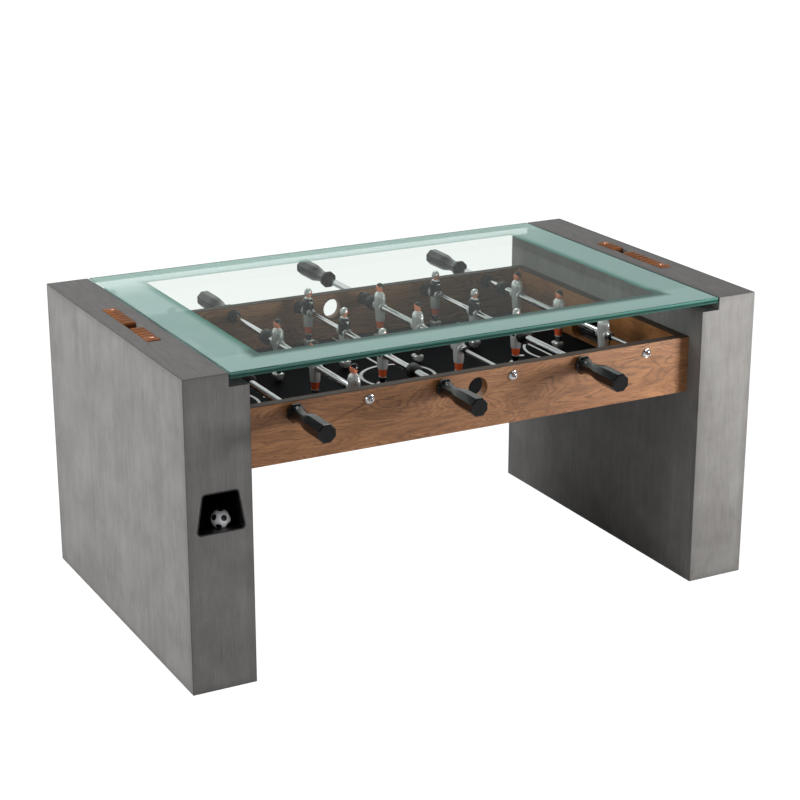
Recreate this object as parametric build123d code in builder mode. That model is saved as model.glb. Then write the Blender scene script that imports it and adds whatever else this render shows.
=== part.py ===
from build123d import *
import os

# A foosball coffee table: two hollow slab legs carry a glass top in rebates and, between them, a play
# box with six telescopic rods. Units are millimetres, +X along the pitch, +Y to the far long side,
# +Z up. The origin is on the floor under the middle of the whole object at rest, grips included. The
# table looks the same after half a turn about its own middle, so most pieces are drawn for the left
# end and turned for the right end.

# --- legs ---
table_length = 1082.0
table_depth = 640.0
table_height = 531.0
leg_width = 112.0
leg_top_width = 77.0
rebate_depth = 22.5
panel = 12.0

# --- glass ---
glass_thickness = 10.0
glass_gap = 1.0
pad_radius = 10.0
pad_rows = 3
pad_spacing = 250.0

# --- play box ---
wall_thickness = 18.0
wall_setback = 35.5
wall_bottom = 354.0
wall_top = 456.0
field_top = 368.0
field_thickness = 12.0
goal_width = 130.0
goal_height = 52.0
goal_corner = 12.0
serve_hole_radius = 18.0
serve_hole_height = 426.0

# --- ball and ball returns ---
ball_radius = 16.0
ball_offset = 69.0
pocket_offset = 57.4
pocket_bottom = 270.5
pocket_top = 339.5
pocket_bottom_width = 85.0
pocket_top_width = 62.0
pocket_corner = 7.0
liner = 2.0
trough_width = 84.0
trough_wall = 2.5
trough_floor = 263.0
trough_flat_end = -250.0
trough_rear = 78.0
trough_rise = 66.0
trough_lip = 28.0
trough_front_height = 345.0

# --- rods ---
rod_count = 6
rod_pitch = 135.6
rod_height = 438.0
tube_radius = 6.35
tube_bore_radius = 4.85
inner_rod_radius = 3.5
inner_rod_reach = 150.0
running_gap = 0.1
man_spacing = 150.0
men_per_rod = 3
pushed_in = 80.0
pulled_out = 82.5
rod_rest = (-80.0, -80.0, -80.0, 50.0, -80.0, 0.0)
bumper_slack = (12.0, 24.0, 93.0, 8.0, 6.0, 31.0)
tube_tail = 22.0
tube_in_handle = 100.0

# --- handles ---
handle_length = 118.0
handle_gap = 1.0
handle_sides = 8
handle_stations = (0.0, 7.0, 12.0, 40.0, 66.0, 84.0, 115.5, 118.0)
handle_radii = (15.6, 15.6, 13.4, 10.4, 13.6, 15.0, 15.0, 13.4)

# --- rod end fittings ---
flange_radius = 13.2
flange_thickness = 3.0
bearing_radius = 9.0
bearing_ring_radius = 12.0
bearing_ring_thickness = 4.0
bush_collar = 4.0
bush_spigot = 14.0
bumper_radius = 13.5
bumper_length = 15.0
bumper_edge = 2.0
plate_radius = 8.4
plate_thickness = 2.0
bolt_radius = 4.0
bolt_length = 6.0
bolt_socket = 2.0
bolt_socket_depth = 3.5
bolt_socket_sides = 6

# --- players ---
hub_radius = 10.0
hub_half_length = 15.0
head_radius = 8.6
head_height = 37.4
neck_radius = 4.0
neck_base = 24.0
# height above the rod, half depth across the pitch, half width along the rod
chest_sections = ((0.0, 9.0, 12.0), (17.0, 9.5, 13.5), (27.0, 6.0, 9.0))
# drop below the rod, depth, width
leg_sections = ((0.0, 18.0, 22.0), (38.0, 12.0, 15.0), (52.0, 10.0, 13.0))
foot_sections = ((52.0, 19.0, 21.0), (66.0, 11.0, 17.0))

# --- score counters ---
slot_offset = 39.5
slot_width = 23.0
slot_length = 214.0
score_block_count = 9
score_block_pitch = 14.2
score_block_gap = 0.3
score_block_rise = 2.0
score_block_round = 5.0
score_stop_length = 28.0
score_screw_radius = 4.6
score_screw_dome = 1.6
score_screw_taper = 30
left_score = 4
right_score = 7

half_length = table_length / 2
half_depth = table_depth / 2
leg_inner = half_length - leg_width
shelf_height = table_height - rebate_depth
box_outer = half_depth - wall_setback
box_inner = box_outer - wall_thickness
pitch_end = leg_inner - wall_thickness
flange_face = box_inner - flange_thickness
rod_x = [rod_pitch * (index - (rod_count - 1) / 2) for index in range(rod_count)]
man_offsets = [man_spacing * (index - (men_per_rod - 1) / 2) for index in range(men_per_rod)]
handle_start = box_outer + bearing_ring_thickness + handle_gap + pushed_in

# the grips reach further on the far side, so the table's own middle lies in front of the origin
front_reach = max(handle_start + rest + handle_length for rest in rod_rest[0::2])
rear_reach = max(handle_start + rest + handle_length for rest in rod_rest[1::2])
table_middle = (front_reach - rear_reach) / 2
home = Plane(origin=(0, table_middle, 0))
turned = Plane(origin=(0, table_middle, 0), x_dir=(-1, 0, 0), z_dir=(0, 0, 1))
ends = {"left": home, "right": turned}


def facing_front(turn, y, x=0.0, z=0.0):
    """A plane whose normal is the end's own -Y, with sketch axes along its X and up."""
    return Plane(origin=turn.from_local_coords(Vector(x, y, z)), x_dir=turn.x_dir, z_dir=-turn.y_dir)


def facing_side(turn, x):
    """A plane whose normal is the end's own +X, with sketch axes along its Y and up."""
    return Plane(origin=turn.from_local_coords(Vector(x, 0, 0)), x_dir=turn.y_dir, z_dir=turn.x_dir)


def keep(builder, name):
    """Label a finished piece and write its STEP file."""
    builder.part.label = name
    export_step(builder.part, f"parts/{name}.step")


def board(name, turn, low, high):
    """A flat board between two opposite corners."""
    size = [high[axis] - low[axis] for axis in range(3)]
    middle = [(high[axis] + low[axis]) / 2 for axis in range(3)]
    with BuildPart(turn) as piece:
        with Locations(tuple(middle)):
            Box(*size)
    keep(piece, name)


def pocket_corners():
    """The corners of the ball pocket's mouth, a trapezoid that is wider below."""
    centre = -half_length + pocket_offset
    return [
        (centre - pocket_bottom_width / 2, pocket_bottom),
        (centre + pocket_bottom_width / 2, pocket_bottom),
        (centre + pocket_top_width / 2, pocket_top),
        (centre - pocket_top_width / 2, pocket_top),
    ]


# --- legs: five boards each ---
def leg_end_panel(name, turn, rear_face, has_pocket):
    """A front or rear board with the rebate for the glass in its inner top corner."""
    with BuildPart() as piece:
        with BuildSketch(facing_front(turn, rear_face)) as outline:
            with BuildLine():
                Polyline(
                    (-half_length, 0),
                    (-leg_inner, 0),
                    (-leg_inner, shelf_height),
                    (-half_length + leg_top_width, shelf_height),
                    (-half_length + leg_top_width, table_height),
                    (-half_length, table_height),
                    close=True,
                )
            make_face()
        extrude(amount=panel)
        if has_pocket:
            with BuildSketch(facing_front(turn, rear_face)) as mouth:
                with BuildLine():
                    Polyline(*pocket_corners(), close=True)
                make_face()
                fillet(mouth.vertices(), pocket_corner)
            extrude(amount=panel, mode=Mode.SUBTRACT)
    keep(piece, name)


def leg_inner_panel(name, turn):
    """The board that faces the other leg, open where goals drop into the ball return."""
    with BuildPart() as piece:
        with BuildSketch(facing_side(turn, -leg_inner - panel)):
            with Locations((0, shelf_height / 2)):
                Rectangle(table_depth - 2 * panel, shelf_height)
            with Locations((0, field_top + goal_height / 2)):
                Rectangle(goal_width, goal_height, mode=Mode.SUBTRACT)
        extrude(amount=panel)
    keep(piece, name)


def leg_top_panel(name, turn):
    """The top board beside the glass, with the slot of the score counter."""
    low_x = -half_length + panel
    high_x = -half_length + leg_top_width
    with BuildPart() as piece:
        with BuildSketch(turn.offset(shelf_height)):
            with Locations(((low_x + high_x) / 2, 0)):
                Rectangle(high_x - low_x, table_depth - 2 * panel)
            with Locations((-half_length + slot_offset, 0)):
                Rectangle(slot_width, slot_length, mode=Mode.SUBTRACT)
        extrude(amount=rebate_depth)
    keep(piece, name)


for side, turn in ends.items():
    inside = half_depth - panel
    board(
        f"{side}_leg_outer_panel",
        turn,
        (-half_length, -inside, 0),
        (-half_length + panel, inside, table_height),
    )
    leg_end_panel(f"{side}_leg_pocket_panel", turn, -inside, True)
    leg_end_panel(f"{side}_leg_plain_panel", turn, half_depth, False)
    leg_inner_panel(f"{side}_leg_inner_panel", turn)
    leg_top_panel(f"{side}_leg_top_panel", turn)

with BuildPart() as glass_shelves:
    for turn in ends.values():
        with BuildSketch(turn.offset(shelf_height - panel)):
            with Locations((-half_length + leg_width / 2, 0)):
                Rectangle(leg_width - 2 * panel, table_depth - 2 * panel)
    extrude(amount=panel)
keep(glass_shelves, "glass_shelves")

# --- glass top on its pads ---
glass_half_length = half_length - leg_top_width - glass_gap
board(
    "glass_top",
    home,
    (-glass_half_length, -half_depth, table_height - glass_thickness),
    (glass_half_length, half_depth, table_height),
)

with BuildPart() as glass_pads:
    with BuildSketch(home.offset(shelf_height)):
        pad_span = 2 * half_length - leg_top_width - leg_width
        with GridLocations(pad_span, pad_spacing, 2, pad_rows):
            Circle(pad_radius)
    extrude(amount=rebate_depth - glass_thickness)
keep(glass_pads, "glass_pads")


# --- play box ---
def apron(name, turn):
    """A long wall with holes for its bearings, for its rod anchors and for the serve."""
    bearing_x = rod_x[0::2]
    anchor_x = rod_x[1::2]
    with BuildPart() as piece:
        with BuildSketch(facing_front(turn, -box_inner)):
            with Locations((0, (wall_bottom + wall_top) / 2)):
                Rectangle(2 * leg_inner, wall_top - wall_bottom)
            with Locations((0, serve_hole_height)):
                Circle(serve_hole_radius, mode=Mode.SUBTRACT)
            with Locations(*[(x, rod_height) for x in bearing_x]):
                Circle(bearing_radius, mode=Mode.SUBTRACT)
            with Locations(*[(x, rod_height) for x in anchor_x]):
                Circle(inner_rod_radius, mode=Mode.SUBTRACT)
        extrude(amount=wall_thickness)
    keep(piece, name)


def end_wall(name, turn):
    """A short wall with the goal mouth at pitch level."""
    with BuildPart() as piece:
        with BuildSketch(facing_side(turn, -leg_inner)):
            with Locations((0, (wall_bottom + wall_top) / 2)):
                Rectangle(2 * box_inner, wall_top - wall_bottom)
        extrude(amount=wall_thickness)
        with BuildSketch(facing_side(turn, -leg_inner)) as mouth:
            with Locations((0, field_top + goal_height / 2)):
                Rectangle(goal_width, goal_height)
            fillet(mouth.vertices().group_by(Axis.Z)[-1], goal_corner)
        extrude(amount=wall_thickness, mode=Mode.SUBTRACT)
    keep(piece, name)


apron("front_apron", home)
apron("rear_apron", turned)
for side, turn in ends.items():
    end_wall(f"{side}_end_wall", turn)
board(
    "playfield",
    home,
    (-pitch_end, -box_inner, field_top - field_thickness),
    (pitch_end, box_inner, field_top),
)


# --- ball returns: a lined pocket mouth and a sloping trough inside each leg ---
def ball_return(name, turn):
    """A moulding that carries the ball from the goal down to the pocket in the leg's end."""
    trough_front = -half_depth + panel
    trough_low_x = -half_length + leg_width / 2 - trough_width / 2
    rear_floor = trough_floor + trough_rise
    with BuildPart() as piece:
        with BuildSketch(facing_side(turn, trough_low_x)):
            with BuildLine():
                Polyline(
                    (trough_front, trough_floor),
                    (trough_flat_end, trough_floor),
                    (trough_rear, rear_floor),
                    (trough_rear, rear_floor + trough_lip),
                    (trough_front, trough_front_height),
                    close=True,
                )
            make_face()
        extrude(amount=trough_width)
        with BuildSketch(facing_side(turn, trough_low_x + trough_wall)):
            with BuildLine():
                Polyline(
                    (trough_front + trough_wall, trough_floor + trough_wall),
                    (trough_flat_end, trough_floor + trough_wall),
                    (trough_rear - trough_wall, rear_floor + trough_wall),
                    (trough_rear - trough_wall, table_height),
                    (trough_front + trough_wall, table_height),
                    close=True,
                )
            make_face()
        extrude(amount=trough_width - 2 * trough_wall, mode=Mode.SUBTRACT)
        with BuildSketch(facing_front(turn, trough_front)) as rim:
            with BuildLine():
                Polyline(*pocket_corners(), close=True)
            make_face()
            fillet(rim.vertices(), pocket_corner)
        extrude(amount=panel)
        with BuildSketch(facing_front(turn, trough_front + trough_wall)) as mouth:
            with BuildLine():
                Polyline(*pocket_corners(), close=True)
            make_face()
            fillet(mouth.vertices(), pocket_corner)
            offset(amount=-liner, mode=Mode.REPLACE)
        extrude(amount=panel + trough_wall, mode=Mode.SUBTRACT)
    keep(piece, name)


for side, turn in ends.items():
    ball_return(f"{side}_ball_return", turn)

with BuildPart(home) as ball:
    resting_height = trough_floor + trough_wall + ball_radius
    resting_reach = -half_depth + panel + trough_wall + ball_radius
    with Locations((-half_length + ball_offset, resting_reach, resting_height)):
        Sphere(ball_radius)
keep(ball, "ball")


# --- rods: tube, handle, men, end bush and bumper, handles at the front on odd rods ---
def along(turn, x, reach):
    """A plane across a rod, at a distance from the middle towards the handle."""
    return facing_front(turn, -reach, x, rod_height)


def rod_tube(name, turn, x, rest):
    """The outer tube, from its open tail to the stop inside the handle."""
    tail = -man_spacing - tube_tail + rest
    tip = handle_start + tube_in_handle + rest
    with BuildPart() as piece:
        with BuildSketch(along(turn, x, tail)):
            Circle(tube_radius)
            Circle(tube_bore_radius, mode=Mode.SUBTRACT)
        extrude(amount=tip - tail)
    keep(piece, name)


def rod_handle(name, turn, x, rest):
    """The octagonal grip: a flange, a waist and a straight end with a chamfer."""
    start = handle_start + rest
    with BuildPart() as piece:
        for station, radius in zip(handle_stations, handle_radii):
            with BuildSketch(along(turn, x, start + station)):
                RegularPolygon(radius, handle_sides, rotation=180 / handle_sides)
        loft(ruled=True)
        with BuildSketch(along(turn, x, start)):
            Circle(tube_radius)
        extrude(amount=tube_in_handle, mode=Mode.SUBTRACT)
    keep(piece, name)


def section(turn, x, reach, height):
    """A level plane through a player, with sketch axes across the pitch and along the rod."""
    return Plane(
        origin=turn.from_local_coords(Vector(x, -reach, rod_height + height)),
        x_dir=turn.x_dir,
        z_dir=(0, 0, 1),
    )


def rod_men(name, turn, x, rest):
    """Three players on a rod, each a hub, a chest, a head, legs and a wedge of feet."""
    with BuildPart() as piece:
        for offset_along in man_offsets:
            reach = offset_along + rest
            with BuildSketch(along(turn, x, reach - hub_half_length)):
                Circle(hub_radius)
            extrude(amount=2 * hub_half_length)
            for height, half_depth_of_chest, half_width in chest_sections:
                with BuildSketch(section(turn, x, reach, height)):
                    Ellipse(half_depth_of_chest, half_width)
            loft()
            with BuildSketch(section(turn, x, reach, neck_base)):
                Circle(neck_radius)
            extrude(amount=head_height - neck_base)
            with Locations(section(turn, x, reach, head_height)):
                Sphere(head_radius)
            for limb_sections in (leg_sections, foot_sections):
                for drop, depth, width in limb_sections:
                    with BuildSketch(section(turn, x, reach, -drop)):
                        Rectangle(depth, width)
                loft(ruled=True)
        with BuildSketch(along(turn, x, man_offsets[0] + rest - hub_half_length)):
            Circle(tube_radius)
        extrude(amount=man_spacing * (men_per_rod - 1) + 2 * hub_half_length, mode=Mode.SUBTRACT)
    keep(piece, name)


def rod_end_bush(name, turn, x, rest):
    """The plastic bush in the tube's tail, which slides on the fixed inner rod."""
    tail = -man_spacing - tube_tail + rest
    with BuildPart() as piece:
        with BuildSketch(along(turn, x, tail - bush_collar - running_gap)):
            Circle(tube_radius)
        extrude(amount=bush_collar)
        with BuildSketch(along(turn, x, tail - bush_collar)):
            Circle(tube_bore_radius - running_gap)
        extrude(amount=bush_collar + bush_spigot)
        with BuildSketch(along(turn, x, tail - bush_collar - running_gap)):
            Circle(inner_rod_radius + running_gap)
        extrude(amount=2 * bush_collar + bush_spigot, mode=Mode.SUBTRACT)
    keep(piece, name)


def rod_bumper(name, turn, x, rest, slack):
    """The loose rubber ring between the last man and the wall on the handle side."""
    start = man_spacing + hub_half_length + slack + rest
    with BuildPart() as piece:
        with BuildSketch(along(turn, x, start)):
            Circle(bumper_radius)
        extrude(amount=bumper_length)
        fillet(piece.edges().filter_by(GeomType.CIRCLE), bumper_edge)
        with BuildSketch(along(turn, x, start)):
            Circle(tube_radius + running_gap)
        extrude(amount=bumper_length, mode=Mode.SUBTRACT)
    keep(piece, name)


for index in range(rod_count):
    turn = home if index % 2 == 0 else turned
    x = rod_x[index] if index % 2 == 0 else -rod_x[index]
    rest = rod_rest[index]
    rod = f"rod_{index + 1}"
    rod_tube(f"{rod}_tube", turn, x, rest)
    rod_handle(f"{rod}_handle", turn, x, rest)
    rod_men(f"{rod}_men", turn, x, rest)
    rod_end_bush(f"{rod}_end_bush", turn, x, rest)
    rod_bumper(f"{rod}_bumper", turn, x, rest, bumper_slack[index])

# --- fittings on the aprons: each turn serves the three rods whose handles are on its front side ---
with BuildPart() as inner_rods:
    for turn in ends.values():
        for x in rod_x[0::2]:
            with BuildSketch(along(turn, x, -box_outer)):
                Circle(inner_rod_radius)
            extrude(amount=box_outer + inner_rod_reach)
keep(inner_rods, "inner_rods")

with BuildPart() as rod_bearings:
    for turn in ends.values():
        for x in rod_x[0::2]:
            with BuildSketch(along(turn, x, flange_face)):
                Circle(flange_radius)
            extrude(amount=flange_thickness)
            with BuildSketch(along(turn, x, box_inner)):
                Circle(bearing_radius)
            extrude(amount=wall_thickness)
            with BuildSketch(along(turn, x, box_outer)):
                Circle(bearing_ring_radius)
            extrude(amount=bearing_ring_thickness)
            with BuildSketch(along(turn, x, flange_face)):
                Circle(tube_radius + running_gap)
            extrude(
                amount=flange_thickness + wall_thickness + bearing_ring_thickness,
                mode=Mode.SUBTRACT,
            )
            with BuildSketch(along(turn, x, -box_inner)):
                Circle(flange_radius)
                Circle(inner_rod_radius, mode=Mode.SUBTRACT)
            extrude(amount=flange_thickness)
keep(rod_bearings, "rod_bearings")

with BuildPart() as anchor_plates:
    for turn in ends.values():
        for x in rod_x[0::2]:
            with BuildSketch(along(turn, x, -box_outer - plate_thickness)):
                Circle(plate_radius)
            extrude(amount=plate_thickness)
keep(anchor_plates, "anchor_plates")

with BuildPart() as anchor_bolts:
    for turn in ends.values():
        for x in rod_x[0::2]:
            with BuildSketch(along(turn, x, -box_outer - plate_thickness - bolt_length)):
                Circle(bolt_radius)
            extrude(amount=bolt_length)
            with BuildSketch(along(turn, x, -box_outer - plate_thickness - bolt_length)):
                RegularPolygon(bolt_socket, bolt_socket_sides)
            extrude(amount=bolt_socket_depth, mode=Mode.SUBTRACT)
keep(anchor_bolts, "anchor_bolts")


# --- score counters: round-topped blocks that slide one at a time across the free gap ---
score_width = slot_width - 2 * score_block_gap
score_floor = shelf_height + score_block_gap
score_top = table_height + score_block_rise
first_block = -slot_length / 2 + score_stop_length
free_gap = slot_length - 2 * score_stop_length - score_block_count * score_block_pitch
score_counts = {-1: left_score, 1: right_score}


def score_block_low(place, near_count):
    """Where a block starts along the slot, past the free gap if it is on the far side."""
    past_gap = free_gap if place >= near_count else 0.0
    return first_block + place * score_block_pitch + past_gap


def score_profile(low, length, crown):
    """The side outline of a block: a rectangle with its two top corners rounded."""
    with Locations((low + length / 2, (score_floor + score_top) / 2)):
        block = Rectangle(length, score_top - score_floor)
    fillet(block.vertices().group_by(Axis.Z)[-1], crown)


def score_plane(side):
    """The plane at the low X side of a counter's blocks."""
    return facing_side(home, side * (half_length - slot_offset) - score_width / 2)


with BuildPart() as score_blocks:
    for side, near_count in score_counts.items():
        for place in range(score_block_count):
            if place == near_count - 1:
                continue
            with BuildSketch(score_plane(side)):
                score_profile(
                    score_block_low(place, near_count) + score_block_gap / 2,
                    score_block_pitch - score_block_gap,
                    score_block_round,
                )
            extrude(amount=score_width)
keep(score_blocks, "score_blocks")

for name, side in (("left", -1), ("right", 1)):
    near_count = score_counts[side]
    with BuildPart() as next_block:
        with BuildSketch(score_plane(side)):
            score_profile(
                score_block_low(near_count - 1, near_count) + score_block_gap / 2,
                score_block_pitch - score_block_gap,
                score_block_round,
            )
        extrude(amount=score_width)
    keep(next_block, f"{name}_score_block")

with BuildPart() as score_stops:
    for side in score_counts:
        for low in (-slot_length / 2, slot_length / 2 - score_stop_length):
            with BuildSketch(score_plane(side)):
                score_profile(low, score_stop_length, score_block_round / 2)
            extrude(amount=score_width)
keep(score_stops, "score_stops")

with BuildPart() as score_screws:
    screw_span = slot_length - score_stop_length
    with BuildSketch(home.offset(score_top)):
        with GridLocations(2 * (half_length - slot_offset), screw_span, 2, 2):
            Circle(score_screw_radius)
    extrude(amount=score_screw_dome, taper=score_screw_taper)
keep(score_screws, "score_screws")
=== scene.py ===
# %% [markdown]
# # A foosball coffee table
#
# The table is two hollow slab legs, a glass top let into them, and a walnut play box with six
# telescopic rods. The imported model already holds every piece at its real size. This script gives
# each piece its finish, and works out finer surfaces for the pieces whose look needs them.

# %% Load the frame
import itertools
import math

import bmesh
import bpy
import numpy as np
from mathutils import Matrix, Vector


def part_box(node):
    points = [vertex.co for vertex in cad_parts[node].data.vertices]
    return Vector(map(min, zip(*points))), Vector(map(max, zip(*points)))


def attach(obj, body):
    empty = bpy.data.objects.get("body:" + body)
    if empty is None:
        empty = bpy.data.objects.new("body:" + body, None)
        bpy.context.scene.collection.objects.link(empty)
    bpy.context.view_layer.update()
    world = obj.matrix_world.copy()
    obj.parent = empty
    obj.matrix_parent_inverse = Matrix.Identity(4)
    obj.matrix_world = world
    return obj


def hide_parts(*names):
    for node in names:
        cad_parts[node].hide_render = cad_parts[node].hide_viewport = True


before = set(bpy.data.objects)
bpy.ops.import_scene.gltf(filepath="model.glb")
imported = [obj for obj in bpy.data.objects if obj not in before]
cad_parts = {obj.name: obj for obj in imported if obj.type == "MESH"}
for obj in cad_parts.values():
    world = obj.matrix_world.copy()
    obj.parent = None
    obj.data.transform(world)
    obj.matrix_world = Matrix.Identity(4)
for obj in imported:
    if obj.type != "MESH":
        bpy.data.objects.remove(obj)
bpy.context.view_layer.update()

MM = 0.001

# %% [markdown]
# ## Where things are
#
# Lengths below are in millimetres, measured from the middle of the table on the floor, because that
# is how a maker thinks of it. One function turns them into the frame's metres. The middle of the
# table is read from the glass, which is centred on it.

# %% The middle of the table, and a change of units
glass_low, glass_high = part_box("glass_top")
middle_x = (glass_low.x + glass_high.x) / 2
middle_y = (glass_low.y + glass_high.y) / 2
half_length, half_depth, table_height = 541.0, 320.0, 531.0
LEG_WIDTH, LEG_TOP, TOP_OF_SHELF = 112.0, 77.0, 508.5
INNER_FACE, NOTCH_FACE = half_length - LEG_WIDTH, half_length - LEG_TOP
ROD_HEIGHT = 438.0
ROD_NAMES = [f"rod_{number}" for number in range(1, 7)]


def to_frame(points):
    """Points in mm from the table's middle become metres in the frame."""
    return np.asarray(points, float) * MM + (middle_x, middle_y, 0.0)


def box_mm(node):
    """A node's lowest and highest corner, in mm from the table's middle."""
    low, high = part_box(node)
    middle = np.array((middle_x, middle_y, 0.0))
    return (np.array(low) - middle) / MM, (np.array(high) - middle) / MM


print("middle of the table", round(middle_x, 4), round(middle_y, 4))

# %% [markdown]
# ## Surfaces from grids
#
# Every new piece is a grid of points: rows of a profile carried along a path. Neighbouring points are
# joined by four-sided faces. Where a row shrinks to a point, as on a ball's pole, the doubled points
# are merged and the faces there become triangles, so each piece ends as a closed skin.

# %% Faces of a grid, and a piece from its points
def grid_faces(rows, columns, wrap_rows=False, wrap_columns=False):
    """Point r, c of a grid is number r * columns + c; each cell joins it to the next row and column."""
    row = np.arange(rows if wrap_rows else rows - 1)
    column = np.arange(columns if wrap_columns else columns - 1)
    row, column = np.meshgrid(row, column, indexing="ij")
    next_row, next_column = (row + 1) % rows, (column + 1) % columns
    here, below = row * columns, next_row * columns
    corners = [here + column, here + next_column, below + next_column, below + column]
    return np.stack(corners, -1).reshape(-1, 4)


def joined(parts):
    """Several (points, faces, kinds) become one, with each part's face numbers moved on."""
    points, faces, kinds, count = [], [], [], 0
    for part_points, part_faces, part_kinds in parts:
        points.append(part_points)
        faces.append(part_faces + count)
        kinds.append(part_kinds)
        count += len(part_points)
    return np.concatenate(points), np.concatenate(faces), np.concatenate(kinds)


def make_piece(name, parts, finishes, body="table", nodes=(), crease=32.0, paints=None):
    """Build a mesh from parts, merge doubled points, turn the skin outwards and hand it to the frame.

    A part is (points in mm, faces, one whole number per face). With paints, that number picks the
    face's colour, and without them it picks the finish."""
    points, faces, kinds = joined(parts)
    mesh = bpy.data.meshes.new(name)
    mesh.from_pydata(to_frame(points).tolist(), [], faces.tolist())
    kind_layer = mesh.attributes.new("kind", "INT", "FACE")
    kind_layer.data.foreach_set("value", kinds.astype(np.int32))
    shell = bmesh.new()
    shell.from_mesh(mesh)
    bmesh.ops.remove_doubles(shell, verts=shell.verts, dist=2e-6)
    bmesh.ops.dissolve_degenerate(shell, edges=shell.edges, dist=1e-7)
    bmesh.ops.recalc_face_normals(shell, faces=shell.faces)
    shell.to_mesh(mesh)
    shell.free()
    kinds = np.zeros(len(mesh.polygons), np.int32)
    mesh.attributes["kind"].data.foreach_get("value", kinds)
    if paints is None:
        mesh.polygons.foreach_set("material_index", kinds)
    else:
        sides = np.zeros(len(mesh.polygons), np.int32)
        mesh.polygons.foreach_get("loop_total", sides)
        colours = np.repeat(np.array([(*paint, 1.0) for paint in paints])[kinds], sides, axis=0)
        layer = mesh.color_attributes.new("paint", "FLOAT_COLOR", "CORNER")
        layer.data.foreach_set("color", colours.astype(np.float32).ravel())
    mesh.polygons.foreach_set("use_smooth", np.ones(len(mesh.polygons), bool))
    mesh.set_sharp_from_angle(angle=math.radians(crease))
    mesh.attributes.remove(mesh.attributes["kind"])
    for finish in finishes:
        mesh.materials.append(finish)
    piece = bpy.data.objects.new(name, mesh)
    bpy.context.scene.collection.objects.link(piece)
    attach(piece, body)
    if nodes:
        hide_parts(*nodes)
    return piece


def loft(rings, kind=0, hollow=False):
    """Rings of points joined one to the next. A hollow loft joins its last ring to its first, like a
    tyre; any other closes both ends at the middle of the end ring. kind may differ from row to row."""
    rings = np.asarray(rings, float)
    if not hollow:
        poles = rings[[0, -1]].mean(axis=1, keepdims=True).repeat(rings.shape[1], axis=1)
        rings = np.concatenate([poles[:1], rings, poles[1:]])
    rows, columns = rings.shape[:2]
    faces = grid_faces(rows, columns, wrap_rows=hollow, wrap_columns=True)
    kinds = np.asarray(kind)
    if kinds.ndim == 0:
        kinds = np.full(len(faces), int(kind))
    elif len(kinds) != len(faces):
        kinds = np.repeat(kinds, columns)
    return rings.reshape(-1, 3), faces, kinds


print("grid tools ready")

# %% Shapes turned about a rod
def whole_turn(segments):
    """Evenly spaced angles once round."""
    return np.linspace(0, 2 * np.pi, segments, endpoint=False)


def about_rod(along, radius, angle, x, start, way):
    """Rings about a rod's line, which runs along Y: X and Z are the radius times the cosine and sine of
    the angle. The radius may change with the angle."""
    rings = [x + radius * np.cos(angle), start + way * along + 0 * angle, ROD_HEIGHT + radius * np.sin(angle)]
    return np.stack(rings, -1)


def turned_along_rod(profile, x, start, way, segments):
    """A profile of (distance along the rod, radius) turned about the rod's line."""
    along, radius = np.asarray(profile, float).T[..., None]
    return about_rod(along, radius, whole_turn(segments), x, start, way)


def sleeve(profile, x, start, way, segments, kind=0):
    """A turned piece with a bore: its profile goes out along the outside and back along the bore."""
    return loft(turned_along_rod(profile, x, start, way, segments), kind, hollow=True)


def flat_sided(angle, sides):
    """The radius of a polygon whose corners lie at 1 is cos(half side) / cos(angle from a side's middle)."""
    half_side = np.pi / sides
    return math.cos(half_side) / np.cos((angle + half_side) % (2 * half_side) - half_side)


print("turning tools ready")

# %% [markdown]
# ## Arithmetic on shader sockets
#
# A pattern is easier to read as a formula than as a web of nodes. This small class wraps a socket, so
# that adding or multiplying two of them adds the Math node that does it. Every other node comes from
# one method that takes the kind of node, its settings and what goes into its sockets.

# %% The socket wrapper and the recipe of a finish
def sign(operation):
    """A method that adds the Math node of one operation."""

    def math_node(self, *others):
        return self.finish.node("ShaderNodeMath", {"operation": operation}, dict(enumerate((self, *others))))

    return math_node


class Wire:
    """A socket that can be added to, multiplied and compared."""

    def __init__(self, finish, socket):
        self.finish, self.socket = finish, socket

    __add__ = __radd__ = sign("ADD")
    __mul__ = __rmul__ = sign("MULTIPLY")
    __sub__, __truediv__, __pow__ = sign("SUBTRACT"), sign("DIVIDE"), sign("POWER")
    __abs__, sine, most = sign("ABSOLUTE"), sign("SINE"), sign("MAXIMUM")

    def __rsub__(self, other):
        return self.finish.node("ShaderNodeMath", {"operation": "SUBTRACT"}, {0: other, 1: self})

    def rise(self, low, high, bottom=0.0, top=1.0):
        """A soft step: bottom below low, top above high. It falls instead where low is above high."""
        if low > high:
            low, high, bottom, top = high, low, top, bottom
        values = {"Value": self, "From Min": low, "From Max": high, "To Min": bottom, "To Max": top}
        return self.finish.node("ShaderNodeMapRange", {"interpolation_type": "SMOOTHSTEP"}, values)


POINTS = {"vector_type": "POINT"}


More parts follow.
